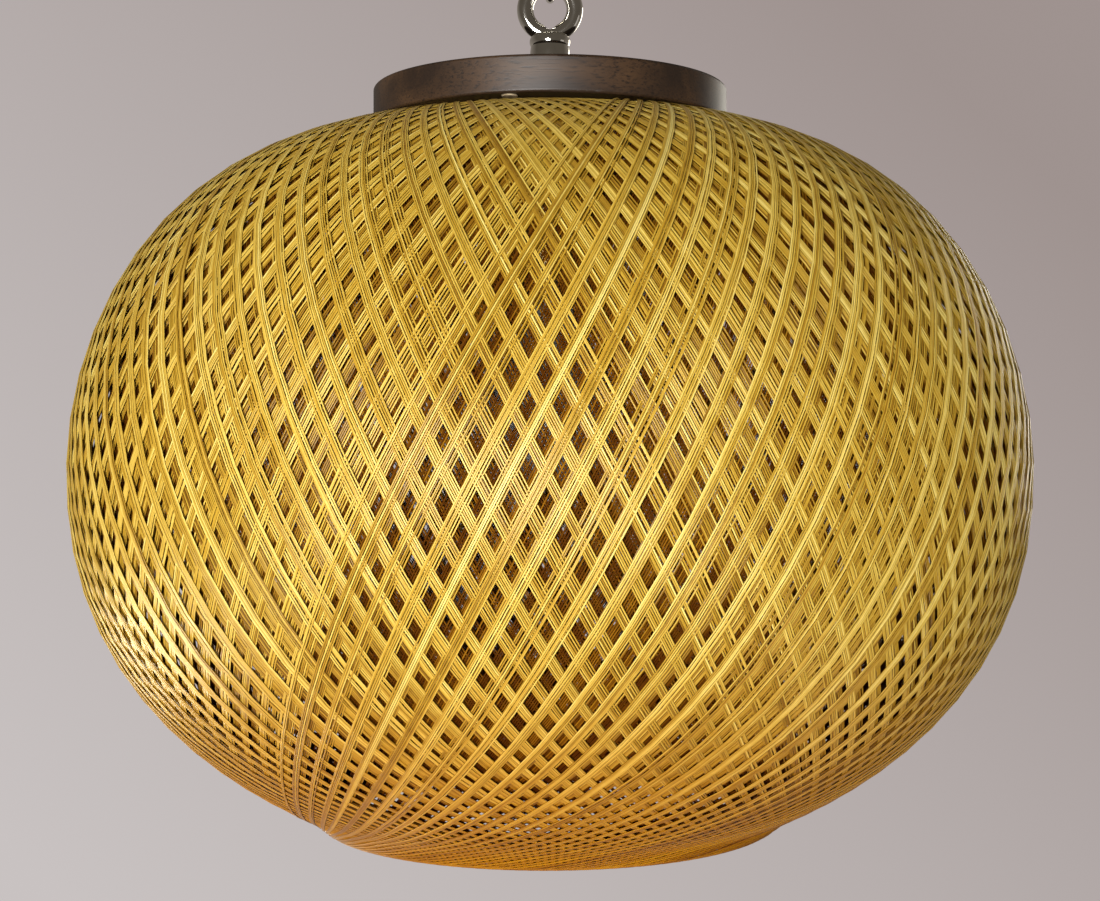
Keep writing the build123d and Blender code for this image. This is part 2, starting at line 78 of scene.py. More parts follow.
@dataclass
class ShaderTree:
    """A thin wrapper round a node tree that adds and joins nodes in short lines.

    Args:
        tree: the node tree of a material, world or group.
    """

    tree: bpy.types.NodeTree

    def add(self, kind: str, **values: object) -> Node:
        """Adds a node and sets its properties.

        Args:
            kind: the node's type name, such as "ShaderNodeTexNoise".
            values: properties by name, or what goes into an input by its name, with spaces
                written as underscores: an output to join or a plain value.

        Returns:
            The new node.
        """
        node = self.tree.nodes.new(kind)
        for name, value in values.items():
            if isinstance(value, Socket):
                self.join(value, node.inputs[name.replace("_", " ")])
            elif hasattr(node, name):
                setattr(node, name, value)
            else:
                node.inputs[name.replace("_", " ")].default_value = value
        return node

    def join(self, out: Socket, into: Socket) -> None:
        """Links an output to an input."""
        self.tree.links.new(out, into)

    def place(self) -> Socket:
        """The object coordinates."""
        return self.add("ShaderNodeTexCoord").outputs["Object"]

    def parts(self) -> tuple[Socket, ...]:
        """X, Y and Z of the object coordinates."""
        return tuple(self.add("ShaderNodeSeparateXYZ", Vector=self.place()).outputs)

    def noise(self, stretch: Triple = (1.0, 1.0, 1.0), **values: object) -> Socket:
        """Noise from 0 to 1 over the object coordinates.

        Args:
            stretch: factors along X, Y and Z.
            values: inputs of the noise by name.

        Returns:
            The noise.
        """
        where = self.add("ShaderNodeMapping", Vector=self.place(), Scale=stretch)
        node = self.add("ShaderNodeTexNoise", Vector=where.outputs["Vector"], **values)
        return node.outputs["Fac"]

    def ramp(self, value: Socket, *stops: tuple[float, Triple]) -> Socket:
        """Turns a value into a colour.

        Args:
            value: the value.
            stops: where each colour stands, from 0 to 1 and in order, and the linear colour.

        Returns:
            The colour.
        """
        node = self.add("ShaderNodeValToRGB", Fac=value)
        elements = node.color_ramp.elements
        for _ in stops[2:]:
            elements.new(0.5)
        for step, (position, color) in enumerate(stops):
            elements[step].position = position
            elements[step].color = (*color, 1.0)
        return node.outputs["Color"]

    def span(self, value: Socket, **values: object) -> Socket:
        """Maps a value from one range onto another, each 0 to 1 unless values say otherwise."""
        return self.add("ShaderNodeMapRange", Value=value, **values).outputs["Result"]

    def feed(self, node: Node, *terms: object) -> Node:
        """Fills a node's inputs in order.

        Args:
            node: the node.
            terms: for each input, an output to join or a plain value.

        Returns:
            The same node.
        """
        for socket, term in zip(node.inputs, terms):
            if isinstance(term, Socket):
                self.join(term, socket)
            else:
                socket.default_value = term
        return node

    def number(self, operation: str, *terms: object, **values: object) -> Socket:
        """The result of an operation on numbers, with the node's other properties by name."""
        node = self.add("ShaderNodeMath", operation=operation, **values)
        return self.feed(node, *terms).outputs["Value"]

    def vector(self, operation: str, *terms: object, output: str = "Vector") -> Socket:
        """The result of an operation on vectors, output "Value" where it is a number."""
        node = self.add("ShaderNodeVectorMath", operation=operation)
        return self.feed(node, *terms).outputs[output]

    def mixed(self, kind: str, factor: Socket, first: Socket, second: object, **values: str) -> Socket:
        """The first value at factor 0 and the second at factor 1.

        Args:
            kind: "RGBA" for colours or "VECTOR" for vectors.
            factor: how much of the second.
            first: the first value.
            second: the second, an output or a plain value.
            values: the node's other properties by name.

        Returns:
            The mix.
        """
        node = self.add("ShaderNodeMix", data_type=kind, Factor=factor, A=first, B=second, **values)
        return node.outputs["Result"]


def new_group(
    name: str, inputs: dict[str, float], outputs: dict[str, str]
) -> tuple[bpy.types.NodeTree, ShaderTree, Node, Node]:
    """Makes an empty shader node group with named sockets.

    Args:
        name: the group's name.
        inputs: the default value of each input, by its name.
        outputs: for each output name, its socket type.

    Returns:
        The group, a helper round it, its input node and its output node.
    """
    group = bpy.data.node_groups.new(name, "ShaderNodeTree")
    for label, value in inputs.items():
        socket = group.interface.new_socket(label, in_out="INPUT", socket_type="NodeSocketFloat")
        socket.default_value = value
    for label, kind in outputs.items():
        group.interface.new_socket(label, in_out="OUTPUT", socket_type=kind)
    helper = ShaderTree(group)
    return group, helper, helper.add("NodeGroupInput"), helper.add("NodeGroupOutput")


def mottle_group() -> bpy.types.NodeTree:
    """Cloudy handling marks: a value that drifts between two limits with a fine bump.

    The value is low + (high - low) * noise, and the bump's height is a finer noise.

    Returns:
        The group, with inputs Scale, Low, High and Bump, and outputs Value and Normal.
    """
    group, helper, source, sink = new_group(
        "handling_mottle",
        {"Scale": 40.0, "Low": 0.1, "High": 0.3, "Bump": 0.05},
        {"Value": "NodeSocketFloat", "Normal": "NodeSocketVector"},
    )
    low, high = source.outputs["Low"], source.outputs["High"]
    clouds = helper.noise(Scale=source.outputs["Scale"], Detail=4.0)
    helper.join(helper.span(clouds, To_Min=low, To_Max=high), sink.inputs["Value"])
    grit = helper.noise(Scale=2600.0, Detail=2.0)
    strength = source.outputs["Bump"]
    bump = helper.add("ShaderNodeBump", Strength=strength, Distance=GRIT_DEPTH, Height=grit)
    helper.join(bump.outputs["Normal"], sink.inputs["Normal"])
    return group


def lathe_group() -> bpy.types.NodeTree:
    """Faint rings left by turning: a bump that repeats with the distance from the Z axis and height.

    Returns:
        The group, with inputs Pitch and Depth, and output Height.
    """
    group, helper, source, sink = new_group(
        "turning_rings",
        {"Pitch": 900.0, "Depth": 0.3},
        {"Height": "NodeSocketFloat"},
    )
    x, y, z = helper.parts()
    flat = helper.feed(helper.add("ShaderNodeCombineXYZ"), x, y).outputs["Vector"]
    along = helper.number("ADD", helper.vector("LENGTH", flat, output="Value"), z)
    turns = helper.number("MULTIPLY", along, source.outputs["Pitch"])
    rings = helper.add("ShaderNodeTexNoise", noise_dimensions="1D", W=turns, Scale=1.0, Detail=3.0)
    depth = helper.number("MULTIPLY", rings.outputs["Fac"], source.outputs["Depth"])
    helper.join(depth, sink.inputs["Height"])
    return group


def relief_group() -> bpy.types.NodeTree:
    """Settles a thread's relief towards the globe's own surface, as the resin between threads does.

    With N the face's normal and G the outward normal of a spheroid about the centre, turned to
    the side N is on, the output is the unit vector along (1 - flatness) * N + flatness * G.

    Returns:
        The group, with inputs Centre, Squash and Flatness, and output Normal.
    """
    group, helper, source, sink = new_group(
        "settled_relief",
        {"Centre": 0.0, "Squash": 1.5, "Flatness": 0.5},
        {"Normal": "NodeSocketVector"},
    )
    x, y, z = helper.parts()
    above = helper.number("SUBTRACT", z, source.outputs["Centre"])
    tall = helper.number("MULTIPLY", above, source.outputs["Squash"])
    outward = helper.feed(helper.add("ShaderNodeCombineXYZ"), x, y, tall)
    turned = helper.add(
        "ShaderNodeVectorTransform",
        vector_type="NORMAL",
        convert_from="OBJECT",
        convert_to="WORLD",
        Vector=outward.outputs["Vector"],
    )
    surface = helper.vector("NORMALIZE", turned.outputs["Vector"])
    face = helper.add("ShaderNodeNewGeometry").outputs["Normal"]
    agree = helper.vector("DOT_PRODUCT", face, surface, output="Value")
    facing = helper.vector("MULTIPLY", surface, helper.number("SIGN", agree))
    settled = helper.mixed("VECTOR", source.outputs["Flatness"], face, facing)
    helper.join(helper.vector("NORMALIZE", settled), sink.inputs["Normal"])
    return group


@dataclass
class SharedEffects:
    """The node groups that several finishes use, each built once.

    Args:
        mottle: handling marks.
        lathe: turning rings.
        relief: flattened relief of the threads.
    """

    mottle: bpy.types.NodeTree = field(default_factory=mottle_group)
    lathe: bpy.types.NodeTree = field(default_factory=lathe_group)
    relief: bpy.types.NodeTree = field(default_factory=relief_group)

    def handle(self, helper: ShaderTree, shader: Node, **values: float) -> Socket:
        """Gives a shader's roughness the handling marks.

        Args:
            helper: the material's tree.
            shader: its Principled shader.
            values: inputs of the marks by name.

        Returns:
            The marks' own bumped normal.
        """
        marks = helper.add("ShaderNodeGroup", node_tree=self.mottle, **values)
        helper.join(marks.outputs["Value"], shader.inputs["Roughness"])
        return marks.outputs["Normal"]


def new_material(name: str) -> tuple[bpy.types.Material, ShaderTree, Node]:
    """Makes a node material.

    Args:
        name: the material's name.

    Returns:
        The material, a helper round its tree and its Principled shader.
    """
    material = bpy.data.materials.new(name)
    material.use_nodes = True
    helper = ShaderTree(material.node_tree)
    return material, helper, material.node_tree.nodes["Principled BSDF"]


# --- Finishes ---------------------------------------------------------------------------------


class Finish:
    """A finish that builds its own material."""

    name: str

    def build(self, shared: SharedEffects) -> bpy.types.Material:
        """Builds the material.

        Args:
            shared: the common node groups.

        Returns:
            The material.
        """
        material, helper, shader = new_material(self.name)
        self.paint(helper, shader, shared)
        return material

    def paint(self, helper: ShaderTree, shader: Node, shared: SharedEffects) -> None:
        """Joins the finish's nodes to its material's Principled shader.

        Args:
            helper: the material's tree.
            shader: the shader.
            shared: the common node groups.
        """
        raise NotImplementedError


@dataclass(frozen=True)
class MetalFinish(Finish):
    """A plated, turned or rolled metal with clouded gloss and fine grit.

    Args:
        name: material name.
        color: base colour, linear.
        low: least roughness.
        high: greatest roughness.
        bump: strength of the fine grit.
        ring_depth: strength of turning rings, none at 0.
        tarnish: share of the colour that is left where it has dulled.
    """

    name: str
    color: Triple
    low: float
    high: float
    bump: float = 0.03
    ring_depth: float = 0.0
    tarnish: float = 0.86

    def paint(self, helper: ShaderTree, shader: Node, shared: SharedEffects) -> None:
        """Clouds the colour and the gloss, with grit and turning rings."""
        shader.inputs["Metallic"].default_value = 1.0
        dulled = tuple(self.tarnish * c for c in self.color)
        clouds = helper.noise(Scale=95.0, Detail=5.0)
        tint = helper.ramp(clouds, (0.3, dulled), (0.62, self.color))
        helper.join(tint, shader.inputs["Base Color"])
        normal = shared.handle(
            helper, shader, Scale=150.0, Low=self.low, High=self.high, Bump=self.bump
        )
        if self.ring_depth > 0:
            rings = helper.add(
                "ShaderNodeGroup", node_tree=shared.lathe, Pitch=2200.0, Depth=self.ring_depth
            )
            height = rings.outputs["Height"]
            bump = helper.add(
                "ShaderNodeBump", Strength=0.4, Distance=GRIT_DEPTH, Height=height, Normal=normal
            )
            normal = bump.outputs["Normal"]
        helper.join(normal, shader.inputs["Normal"])


@dataclass(frozen=True)
class PlainFinish(Finish):
    """A moulded, fibre, felt or vitrified surface: a mottled colour on a dull or glossy ground.

    Args:
        name: material name.
        dark: darker colour, linear.
        light: lighter colour, linear.
        low: least roughness.
        high: greatest roughness.
        bump: strength of the fine grit.
        scale: how fine the colour's mottle is.
    """

    name: str
    dark: Triple
    light: Triple
    low: float
    high: float
    bump: float = 0.1
    scale: float = 400.0

    def paint(self, helper: ShaderTree, shader: Node, shared: SharedEffects) -> None:
        """Mottles the colour and the gloss, with grit."""
        speckle = helper.noise(Scale=self.scale, Detail=5.0)
        tint = helper.ramp(speckle, (0.35, self.dark), (0.65, self.light))
        helper.join(tint, shader.inputs["Base Color"])
        normal = shared.handle(
            helper, shader, Scale=60.0, Low=self.low, High=self.high, Bump=self.bump
        )
        helper.join(normal, shader.inputs["Normal"])


@dataclass(frozen=True)
class GlassFinish(Finish):
    """Clear or frosted glass.

    Args:
        name: material name.
        color: tint, linear.
        transmission: share of light let through.
        low: least roughness.
        high: greatest roughness.
    """

    name: str
    color: Triple
    transmission: float
    low: float
    high: float

    def paint(self, helper: ShaderTree, shader: Node, shared: SharedEffects) -> None:
        """Tints the glass and clouds its gloss."""
        shader.inputs["Base Color"].default_value = (*self.color, 1.0)
        shader.inputs["Transmission Weight"].default_value = self.transmission
        shader.inputs["IOR"].default_value = 1.46
        normal = shared.handle(helper, shader, Scale=45.0, Low=self.low, High=self.high, Bump=0.02)
        helper.join(normal, shader.inputs["Normal"])


@dataclass(frozen=True)
class WalnutFinish(Finish):
    """Dark satin walnut: long figure and pores that run along X, under a thin lacquer.

    Args:
        name: material name.
        dark: colour of the figure's dark bands, linear.
        light: colour of the pale bands, linear.
        pore: colour of the pores, linear.
        figure: how close the bands are along X, Y and Z.
        grain: how close the pores are.
    """

    name: str = "dark_walnut"
    dark: Triple = (0.019, 0.0095, 0.0045)
    light: Triple = (0.060, 0.030, 0.0125)
    pore: Triple = (0.013, 0.0065, 0.0032)
    figure: Triple = (2.2, 70.0, 70.0)
    grain: Triple = (16.0, 1300.0, 1300.0)

    def paint(self, helper: ShaderTree, shader: Node, shared: SharedEffects) -> None:
        """Lays figure and pores under the lacquer."""
        bands = helper.noise(self.figure, Scale=1.0, Detail=7.0, Distortion=0.5)
        figured = helper.ramp(bands, (0.36, self.dark), (0.66, self.light))
        pores = helper.noise(self.grain, Scale=1.0, Detail=3.0)
        open_pores = helper.span(pores, From_Min=0.5, From_Max=0.7)
        wood = helper.mixed("RGBA", open_pores, figured, (*self.pore, 1.0))
        helper.join(wood, shader.inputs["Base Color"])
        normal = shared.handle(helper, shader, Scale=30.0, Low=0.42, High=0.56, Bump=0.05)
        bump = helper.add(
            "ShaderNodeBump",
            invert=True,
            Strength=0.08,
            Distance=GRIT_DEPTH,
            Height=open_pores,
            Normal=normal,
        )
        helper.join(bump.outputs["Normal"], shader.inputs["Normal"])
        shader.inputs["Coat Weight"].default_value = 0.04
        shader.inputs["Coat Roughness"].default_value = 0.4


@dataclass(frozen=True)
class StrawFinish(Finish):
    """Resin-bonded straw thread, paler or darker by thread and ambered towards the mouth.

    Args:
        name: material name.
        shades: colours of a thread whose tone is 0, 1/4, 1/2, 3/4 and 1, linear.
        amber: colour that multiplies them more and more towards the bottom, linear.
        painted_shade: colour that multiplies them all over; below white it is painted shade for threads
            that lie in shadow.
        tone_name: mesh attribute with each thread's tone, from 0 to 1.
        amber_from: height where the ambering starts.
        amber_to: height where it is full.
        low: least roughness.
        high: greatest roughness.
        coat: how much resin gloss lies on the threads.
        specular: strength of the threads' own gloss.
        specular_tint: its colour.
        centre: height of the globe's middle.
        squash: square of its radius over its half height.
        flatness: how far the resin flattens the threads' relief, from 0 to 1.
        streak: how much the tone changes along a thread.
    """

    name: str = "straw_thread"
    shades: tuple[Triple, ...] = (
        (0.085, 0.028, 0.002),
        (0.250, 0.118, 0.008),
        (0.490, 0.290, 0.026),
        (0.680, 0.470, 0.080),
        (0.880, 0.700, 0.200),
    )
    amber: Triple = (0.72, 0.40, 0.008)
    painted_shade: Triple = (1.0, 1.0, 1.0)
    tone_name: str = "thread_tone"
    amber_from: float = 0.0
    amber_to: float = -0.1
    low: float = 0.26
    high: float = 0.40
    coat: float = 0.15
    specular: float = 0.5
    specular_tint: Triple = (1.0, 0.86, 0.5)
    centre: float = 0.0
    squash: float = 1.62
    flatness: float = 0.65
    streak: float = 0.16

    def paint(self, helper: ShaderTree, shader: Node, shared: SharedEffects) -> None:
        """Colours each thread by its tone, its streaks and its height."""
        tone = helper.add("ShaderNodeAttribute", attribute_name=self.tone_name)
        fibre = helper.noise(Scale=160.0, Detail=4.0)
        streak = helper.span(fibre, To_Min=-self.streak, To_Max=self.streak)
        streaked = helper.number("ADD", tone.outputs["Fac"], streak, use_clamp=True)
        last = len(self.shades) - 1
        # Painted shade: every colour is multiplied by a tint, which darkens the innermost threads to
        # stand in for the shadow inside the winding.
        shades = [tuple(s * d for s, d in zip(shade, self.painted_shade)) for shade in self.shades]
        straw = helper.ramp(streaked, *((step / last, shade) for step, shade in enumerate(shades)))
        _, _, height = helper.parts()
        depth = helper.span(
            height,
            interpolation_type="SMOOTHSTEP",
            From_Min=self.amber_from,
            From_Max=self.amber_to,
        )
        amber = (*self.amber, 1.0)
        ambered = helper.mixed("RGBA", depth, straw, amber, blend_type="MULTIPLY")
        helper.join(ambered, shader.inputs["Base Color"])
        shared.handle(helper, shader, Scale=220.0, Low=self.low, High=self.high)
        relief = helper.add(
            "ShaderNodeGroup",
            node_tree=shared.relief,
            Centre=self.centre,
            Squash=self.squash,
            Flatness=self.flatness,
        )
        helper.join(relief.outputs["Normal"], shader.inputs["Normal"])
        shader.inputs["Specular IOR Level"].default_value = self.specular
        shader.inputs["Specular Tint"].default_value = (*self.specular_tint, 1.0)
        shader.inputs["Coat Weight"].default_value = self.coat
        shader.inputs["Coat Roughness"].default_value = 0.25


# --- Globe ------------------------------------------------------------------------------------


@dataclass
class GlobeSection:
    """The globe's section as a curve of radius and height against the arc length from the hub.

    The outside is two superellipse quarters that meet at the equator. With side power q, height
    power p and a turn t from 0 at the equator to 90 degrees at the pole, the radius is
    R * cos(t) ** (2 / q) and the height above or below the equator is H * sin(t) ** (2 / p).

    Args:
        radius: greatest outside radius R.
        equator: height of the equator in the row frame.
        upper_height: H of the upper part.
        upper_side_power: q of the upper part.
        upper_height_power: p of the upper part.
        lower_height: H of the lower part.
        lower_side_power: q of the lower part.
        lower_height_power: p of the lower part.
        hub_radius: where the threads turn under the cap.
        mouth_radius: where they turn at the open bottom.
        samples: points on each quarter.
    """

    radius: float
    equator: float
    upper_height: float = 149.1 * MM
    upper_side_power: float = 3.155
    upper_height_power: float = 1.871
    lower_height: float = 169.6 * MM
    lower_side_power: float = 1.919
    lower_height_power: float = 2.293
    hub_radius: float = 30.5 * MM
    mouth_radius: float = 94.4 * MM
    samples: int = 6000

    def __post_init__(self) -> None:
        """Works out the section as dense arrays from the hub down to the mouth."""
        turn = np.linspace(0.0, math.pi / 2, self.samples)
        up_r, up_h = self._quarter(
            turn, self.upper_height, self.upper_side_power, self.upper_height_power
        )
        low_r, low_h = self._quarter(
            turn, self.lower_height, self.lower_side_power, self.lower_height_power
        )
        radius = np.concatenate([up_r[::-1], low_r[1:]])
        height = np.concatenate([up_h[::-1], -low_h[1:]])
        lower = np.concatenate([np.zeros(len(up_r), bool), np.ones(len(low_r) - 1, bool)])
        kept = np.where(lower, radius >= self.mouth_radius, radius >= self.hub_radius)
        self.r = radius[kept]
        self.h = height[kept]
        steps = np.hypot(np.diff(self.r), np.diff(self.h))
        self.s = np.concatenate([[0.0], np.cumsum(steps)])
        slope_r = np.gradient(self.r, self.s)
        slope_h = np.gradient(self.h, self.s)
        size = np.hypot(slope_r, slope_h)
        self.out_r = -slope_h / size
        self.out_h = slope_r / size

    def _quarter(
        self, turn: np.ndarray, tall: float, side: float, rise: float
    ) -> tuple[np.ndarray, np.ndarray]:
        """Radius and height of one superellipse quarter at each turn."""
        across = self.radius * np.maximum(np.cos(turn), 0.0) ** (2 / side)
        return across, tall * np.sin(turn) ** (2 / rise)

    @property
    def length(self) -> float:
        """Arc length from the hub to the mouth."""
        return float(self.s[-1])

    def at(self, s: np.ndarray) -> tuple[np.ndarray, np.ndarray, np.ndarray, np.ndarray]:
        """Radius, height over the equator, and the outward normal's two parts at arc lengths.

        Args:
            s: arc lengths from the hub.

        Returns:
            Four arrays of the shape of s.
        """
        return (
            np.interp(s, self.s, self.r),
            np.interp(s, self.s, self.h),
            np.interp(s, self.s, self.out_r),
            np.interp(s, self.s, self.out_h),
        )


@dataclass
class ThreadCourse:
    """The course of one thread round the globe: how far it turns as it runs down.

    The sine of the angle between thread and meridian is reach / radius, where reach falls from
    the mouth's radius to the hub's as the height rises, so that the thread is tangent to both.
    The turn is the integral of tan(angle) / radius over the arc length, zero at the equator.

    Args:
        section: the globe's section.
        low_share: height over the equator, in globe radii, where the reach starts to fall.
        high_share: height where it ends.
        fall_power: how late it falls.
        steepest: greatest sine, which keeps the turn finite at both ends.
    """

    section: GlobeSection
    low_share: float = -0.20
    high_share: float = 0.73
    fall_power: float = 3.0
    steepest: float = 0.9995

    def __post_init__(self) -> None:
        """Integrates the turn along the section on a fine grid."""
        section = self.section
        share = section.h / section.radius
        climb = (share - self.low_share) / (self.high_share - self.low_share)
        fall = np.clip(climb, 0.0, 1.0) ** self.fall_power
        reach = section.mouth_radius + (section.hub_radius - section.mouth_radius) * fall
        sine = np.clip(reach / section.r, 0.0, self.steepest)
        rate = sine / np.sqrt(1 - sine**2) / section.r
        middle = (rate[1:] + rate[:-1]) / 2 * np.diff(section.s)
        turned = np.concatenate([[0.0], np.cumsum(middle)])
        self.turn = turned - np.interp(0.0, -section.h, turned)

    def turn_at(self, s: np.ndarray) -> np.ndarray:
        """Turn past the equator's azimuth, positive below the equator, at arc lengths."""
        return np.interp(s, self.section.s, self.turn)


@dataclass
class WindingPass:
    """One pass of the winding head round the globe: bands of threads that all lean one way.

    Args:
        name: piece name.
        lean: which way the threads lean.
        layer: 0 for the innermost.
        phase: shift of the bands, as a share of the space between two bands.
        threads: threads in a band.
        pitch: distance between threads in a band, square to them, at the equator.
        width: thread width.
        height: thread thickness.
        tone: how pale the threads are, from 0 to 1.
        stray: how unevenly the threads lie, in metres at the equator.
        split: the wider gap that some bands have between two of their threads.
        wander: how far the bands drift round the globe, as a share of the space between two.
        stretch: how much further than the outermost pass each thread turns round the globe.
    """

    name: str
    lean: Lean
    layer: int
    phase: float
    threads: int = 5
    pitch: float = 0.80 * MM
    width: float = 0.62 * MM
    height: float = 0.30 * MM
    tone: float = 0.5
    stray: float = 0.07 * MM
    split: float = 0.40 * MM
    wander: float = 0.0
    stretch: float = 1.0


@dataclass(frozen=True)
class Unevenness:
    """How far the winding strays from an even one.

    Args:
        drift: spread of the bands' places, as a share of the space between two.
        slipped_share: share of the threads that have slipped.
        slip: spread of how far, in pitches.
        opened_share: share of the bands that have a split.
        band_tone: spread of the tone from band to band.
        thread_tone: spread of the tone from thread to thread.
        sway: spread of how far threads sway about their course, in pitches.
        sway_turn: angle that the sway runs through from the hub to the mouth.
    """

    drift: float = 0.03
    slipped_share: float = 0.06
    slip: float = 0.55
    opened_share: float = 0.4
    band_tone: float = 0.06
    thread_tone: float = 0.13
    sway: float = 0.12
    sway_turn: float = 9.0


@dataclass
class WoundGlobe:
    """The globe as its single threads.

    Args:
        section: the globe's section.
        bands: bands round the equator in one pass.
        layers: layers of the winding.
        thickness: thickness of the whole winding.
        bead: how much thicker it gets at the mouth.
        bead_reach: how far from the mouth the thickening starts.
        bead_fall: how fast it fades with the square of the distance.
        first_azimuth: where each pass starts, from the front towards the right.
        course_points: points along a thread.
        lip_points: points where it runs on along the mouth's edge.
        lip_turn: how far it runs on there.
        lip_sink: share of its lift that it loses there.
        inset: how far the topmost threads lie below the surface, in thread heights.
        corners: a thread's corners, across and up, as shares of its width and height.
        layer_pitch: distance between threads, by layer.
        layer_tone: how pale they are, from the inside out; the darker tones of the deeper layers are
            painted shade.
        layer_wander: how far the bands of each layer drift, as a share of their spacing.
        right_phases: shift of the bands that lean right, by layer.
        left_phases: shift of the bands that lean left.
        lag: how much less each deeper layer turns.
        uneven: the small irregularities.
        seed: of the irregularities.
    """

    section: GlobeSection
    bands: int = 112
    layers: int = 3
    thickness: float = 3.2 * MM
    bead: float = 3.2 * MM
    bead_reach: float = 14.0 * MM
    bead_fall: float = 3.0
    first_azimuth: float = math.radians(-16.5)
    course_points: int = 40
    lip_points: int = 4
    lip_turn: float = math.radians(15)
    lip_sink: float = 0.75
    inset: float = 0.4
    corners: tuple[tuple[float, float], ...] = ((-0.5, -0.45), (0.5, -0.45), (0.3, 0.55), (-0.3, 0.55))
    layer_pitch: tuple[float, ...] = (0.95 * MM, 0.84 * MM, 0.80 * MM)
    # Painted shade: the deeper layers get darker tones, the innermost nearly black-brown.
    layer_tone: tuple[float, ...] = (0.06, 0.46, 0.64)
    layer_wander: tuple[float, ...] = (0.12, 0.26, 0.09)
    right_phases: tuple[float, ...] = (0.55, 0.22, 0.0)
    left_phases: tuple[float, ...] = (0.45, 0.78, 0.0)
    lag: float = 0.009
    uneven: Unevenness = Unevenness()
    seed: int = 4

    def __post_init__(self) -> None:
        """Works out the thread's course and starts the seeded randomness."""
        self.course = ThreadCourse(self.section)
        self.random = np.random.default_rng(self.seed)

    def passes(self) -> list[WindingPass]:
        """The passes from the inside out, each layer leaning right and then left."""
        phases_by_lean = {Lean.RIGHT: self.right_phases, Lean.LEFT: self.left_phases}
        found = []
        for layer in range(self.layers):
            for lean, phases in phases_by_lean.items():
                found.append(
                    WindingPass(
                        name=f"winding_layer_{layer + 1}_{lean.name.lower()}",
                        lean=lean,
                        layer=layer,
                        phase=phases[layer],
                        pitch=self.layer_pitch[layer],
                        tone=self.layer_tone[layer],
                        wander=self.layer_wander[layer],
                        stretch=1 - self.lag * (self.layers - 1 - layer),
                    )
                )
        return found

    def lay_out(self, run: WindingPass) -> dict[str, np.ndarray]:
        """Where each thread of a pass crosses the equator, and how high it lies.

        The share of the pass that is wound when a thread is laid grows with its distance from
        the first azimuth, so each pass rises by one layer all the way round, and two passes that
        lean opposite ways are half a turn apart.

        Args:
            run: the pass.

        Returns:
            Arrays with one entry for each thread: azimuth, lift, tone, sway and sway_phase.
        """
        uneven = self.uneven
        band = np.repeat(np.arange(self.bands), run.threads)
        place = np.tile(np.arange(run.threads) - (run.threads - 1) / 2, self.bands)
        count = len(band)
        step = 2 * math.pi / self.bands
        turns = 2 * math.pi * band / self.bands
        wave = run.wander * np.sin((3 + 2 * run.layer) * turns + 2.0 * run.layer + run.lean.value)
        drift = wave + np.repeat(self.random.normal(0, uneven.drift, self.bands), run.threads)
        stray = self.random.normal(0, run.stray, count)
        slipped = self.random.random(count) < uneven.slipped_share
        slip = self.random.normal(0, uneven.slip * run.pitch, count)
        stray = stray + np.where(slipped, slip, 0.0)
        opened = np.repeat(self.random.random(self.bands) < uneven.opened_share, run.threads)
        beyond = place > np.repeat(self.random.integers(-1, 2, self.bands), run.threads)
        stray = stray + np.where(opened & beyond, run.split, 0.0)
        lean_share = self.section.mouth_radius / self.section.radius
        slant = math.sqrt(1 - lean_share**2)
        across = (place * run.pitch + stray) / (self.section.radius * slant)
        azimuth = self.first_azimuth + step * (band + run.phase + drift) + across
        wound = (self.first_azimuth - azimuth) / (2 * math.pi) % 1.0
        if run.lean is Lean.LEFT:
            wound = (wound + 0.5) % 1.0
        lift = (run.layer + wound) / self.layers
        band_tone = np.repeat(self.random.normal(0, uneven.band_tone, self.bands), run.threads)
        tone = run.tone + band_tone + self.random.normal(0, uneven.thread_tone, count)
        sway = self.random.normal(0, uneven.sway * run.pitch, count)
        return {
            "azimuth": azimuth,
            "lift": lift,
            "tone": np.clip(tone, 0, 1),
            "sway": sway / self.section.radius,
            "sway_phase": self.random.uniform(0, 2 * math.pi, count),
        }

    def course_lines(
        self, run: WindingPass, laid: dict[str, np.ndarray]
    ) -> tuple[np.ndarray, np.ndarray]:
        """The threads' centre lines and the surface normals along them.

        A thread's arc lengths are spaced by a cosine, closest together at both ends, where it
        runs tangent to the hub and the mouth. Past the mouth it goes on round the edge and sinks
        into the bead.

        Args:
            run: the pass.
            laid: the result of lay_out.

        Returns:
            Points and normals, both threads by points by 3.
        """
        length = self.section.length
        share = (1 - np.cos(np.linspace(0, math.pi, self.course_points))) / 2
        s = np.concatenate([share * length, np.full(self.lip_points, length)])
        past = np.concatenate(
            [np.zeros(self.course_points), np.linspace(0, 1, self.lip_points + 1)[1:]]
        )
        r, h, out_r, out_h = self.section.at(s)
        turned = run.stretch * self.course.turn_at(s) + past * self.lip_turn
        sway = laid["sway"][:, None] * np.sin(
            laid["sway_phase"][:, None] + self.uneven.sway_turn * (s / length)[None, :]
        )
        azimuth = laid["azimuth"][:, None] - run.lean.value * turned[None, :] + sway
        fade = np.exp(-self.bead_fall * ((length - s) / self.bead_reach) ** 2)
        growth = 1 + self.bead / self.thickness * fade
        sunk = 1 - self.lip_sink * past
        lift = laid["lift"][:, None] * (growth * sunk)[None, :] * self.thickness
        lift = np.maximum(lift, run.height / 2) - self.thickness - run.height * self.inset
        radius = r[None, :] + out_r[None, :] * lift
        height = self.section.equator + h[None, :] + out_h[None, :] * lift
        sine, cosine = np.sin(azimuth), np.cos(azimuth)
        points = np.stack([radius * sine, -radius * cosine, height], axis=-1)
        flat_r = np.broadcast_to(out_r, azimuth.shape)
        flat_h = np.broadcast_to(out_h, azimuth.shape)
        normals = np.stack([flat_r * sine, -flat_r * cosine, flat_h], axis=-1)
        return points, normals

